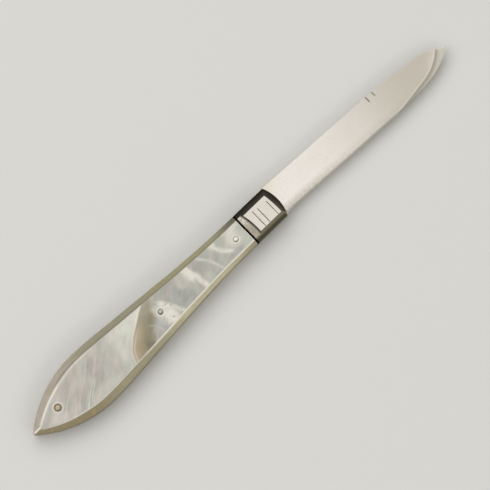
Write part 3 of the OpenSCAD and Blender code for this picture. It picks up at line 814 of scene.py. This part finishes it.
def crease_group():
    """A modifier that smooths a piece but keeps its corners and the lines between ground faces."""
    group = bpy.data.node_groups.new("creases", "GeometryNodeTree")
    group.interface.new_socket("Geometry", in_out="INPUT", socket_type="NodeSocketGeometry")
    group.interface.new_socket("Geometry", in_out="OUTPUT", socket_type="NodeSocketGeometry")
    s = Shader(group)
    angle = s.node("GeometryNodeInputMeshEdgeAngle").outputs["Unsigned Angle"]
    normal_z = s.split(s.node("GeometryNodeInputNormal").outputs["Normal"])[2]
    corner = s.maths("GREATER_THAN", angle, math.radians(CORNER_ANGLE))
    ground = s.mul(s.maths("GREATER_THAN", angle, math.radians(GROUND_ANGLE)),
                   s.maths("GREATER_THAN", s.absolute(normal_z), GROUND_NORMAL))
    crease = s.maths("GREATER_THAN", s.either(corner, ground), 0.5)
    start = s.node("NodeGroupInput")
    faces = s.node("GeometryNodeSetShadeSmooth", {"Geometry": start.outputs[0],
                                                  "Shade Smooth": True}, domain="FACE")
    edges = s.node("GeometryNodeSetShadeSmooth", {"Geometry": faces.outputs[0], "Selection": crease,
                                                  "Shade Smooth": False}, domain="EDGE")
    end = s.node("NodeGroupOutput")
    group.links.new(edges.outputs[0], end.inputs[0])
    return group


CREASES = crease_group()


def round_edges(node, width, angle):
    """Joins the CAD faces, clears flat seams, rounds the sharp edges and smooths the rest."""
    piece = NODES[node]
    weld = piece.modifiers.new("Weld", "WELD")
    weld.merge_threshold = WELD * MM
    flat = piece.modifiers.new("Planar", "DECIMATE")
    flat.decimate_type = "DISSOLVE"
    flat.angle_limit = math.radians(SEAM_ANGLE)
    creases = piece.modifiers.new("Creases", "NODES")
    creases.node_group = CREASES
    bevel = piece.modifiers.new("Bevel", "BEVEL")
    bevel.width = width * MM
    bevel.segments = ROUND_STEPS
    bevel.limit_method = "ANGLE"
    bevel.angle_limit = math.radians(angle)
    bevel.harden_normals = True


# Width of each rounded edge in millimetres, and the angle in degrees above which an edge is rounded
EDGES = {
    "blade": (0.07, 28),
    "back_spring": (0.05, 30),
    "front_liner": (0.05, 30),
    "rear_liner": (0.05, 30),
    "front_bolster": (0.07, 25),
    "rear_bolster": (0.07, 25),
    "front_scale": (0.2, 20),
    "rear_scale": (0.2, 20),
    "butt_pin": (0.03, 40),
    "front_middle_pin": (0.03, 40),
    "rear_middle_pin": (0.03, 40),
    "front_neck_pin": (0.03, 40),
    "rear_neck_pin": (0.03, 40),
}
for node, (width, angle) in EDGES.items():
    round_edges(node, width, angle)


# Camera: nearly overhead, with the butt at the lower left and the tip at the upper right

# Width of the picture at the knife in millimetres, and the camera's distance in metres
IMAGE_MM = 124.6
CAMERA_DISTANCE = 2.5
# In degrees: how far the camera leans back, and how steeply the handle rises in the picture
CAMERA_TILT = 4.0
HANDLE_SLOPE = 44.045
# The point in the middle of the picture, in millimetres
VIEW_CENTRE = (-0.03, -2.53, 3.35)


def make_camera():
    """Looks at VIEW_CENTRE, leaning back by CAMERA_TILT towards the bottom of the picture."""
    slope = math.radians(HANDLE_SLOPE)
    picture_right = Vector((math.cos(slope), -math.sin(slope), 0))
    picture_up = Vector((math.sin(slope), math.cos(slope), 0))
    tilt = math.radians(CAMERA_TILT)
    back = Vector((0, 0, 1)) * math.cos(tilt) - picture_up * math.sin(tilt)
    up = back.cross(picture_right)
    target = Vector(VIEW_CENTRE) * MM
    data = bpy.data.cameras.new("Camera")
    data.lens = data.sensor_width * CAMERA_DISTANCE / (IMAGE_MM * MM)
    camera = bpy.data.objects.new("Camera", data)
    camera.matrix_world = Matrix.Translation(target + back * CAMERA_DISTANCE) @ Matrix(
        (picture_right, up, back)).transposed().to_4x4()
    bpy.context.scene.collection.objects.link(camera)
    bpy.context.scene.camera = camera


make_camera()


# Floor and light

# Half the width of the floor in metres, and the scale of the paper's fibres per metre
FLOOR_HALF = 2.0
FIBRE_SCALE = 6000.0
# Lamps: name, place, length and depth in metres, and power in watts
LAMPS = (
    ("key_softbox", (-0.15, 0.5, 0.85), 1.6, 0.9, 4.2),
    ("slot_side_lamp", (0.05, -0.5, 0.6), 1.0, 0.3, 0.7),
)


def make_floor():
    """A plain sheet of pale paper."""
    corners = [(x * FLOOR_HALF, y * FLOOR_HALF, 0) for x, y in ((-1, -1), (1, -1), (1, 1), (-1, 1))]
    mesh = bpy.data.meshes.new("floor")
    mesh.from_pydata(corners, [], [(0, 1, 2, 3)])
    floor = bpy.data.objects.new("floor", mesh)
    bpy.context.scene.collection.objects.link(floor)
    material, s = new_material("floor_paper")
    here = s.node("ShaderNodeTexCoord").outputs["Object"]
    fibres = s.noise(here, FIBRE_SCALE, 2.0)
    colour = s.mix(fibres, srgb(224, 223, 220), srgb(231, 230, 227))
    s.surface(Base_Color=colour, Roughness=0.85, Normal=s.bump(fibres, 0.01))
    mesh.materials.append(material)


def make_world():
    """A studio with a bright ceiling, dimmer on the slot side, and darker walls below it."""
    world = bpy.data.worlds.new("studio")
    bpy.context.scene.world = world
    world.use_nodes = True
    s = Shader(world.node_tree)
    _, side, up = s.split(s.node("ShaderNodeTexCoord").outputs["Generated"])
    ceiling = s.mix(s.ramp(side, -0.45, 0.05), (0.42, 0.42, 0.40, 1.0), (0.93, 0.92, 0.90, 1.0))
    walls = s.mix(s.ramp(side, -0.2, -0.9), (0.17, 0.165, 0.155, 1.0), (0.36, 0.35, 0.29, 1.0))
    colour = s.mix(s.ramp(up, 0.48, 0.66), walls, ceiling)
    background = s.node("ShaderNodeBackground", {"Color": colour, "Strength": 1.0})
    s.node("ShaderNodeOutputWorld", {"Surface": background.outputs[0]})


def make_lamp(name, place, length, depth, power):
    """A softbox that faces the knife, with its length level. The silver reflects only the studio."""
    data = bpy.data.lights.new(name, "AREA")
    data.shape = "RECTANGLE"
    data.size = length
    data.size_y = depth
    data.energy = power
    lamp = bpy.data.objects.new(name, data)
    lamp.location = place
    lamp.rotation_euler = Vector(place).to_track_quat("Z", "Y").to_euler()
    lamp.visible_glossy = False
    bpy.context.scene.collection.objects.link(lamp)


make_floor()
make_world()
for lamp in LAMPS:
    make_lamp(*lamp)

bpy.context.scene.view_settings.view_transform = "Standard"
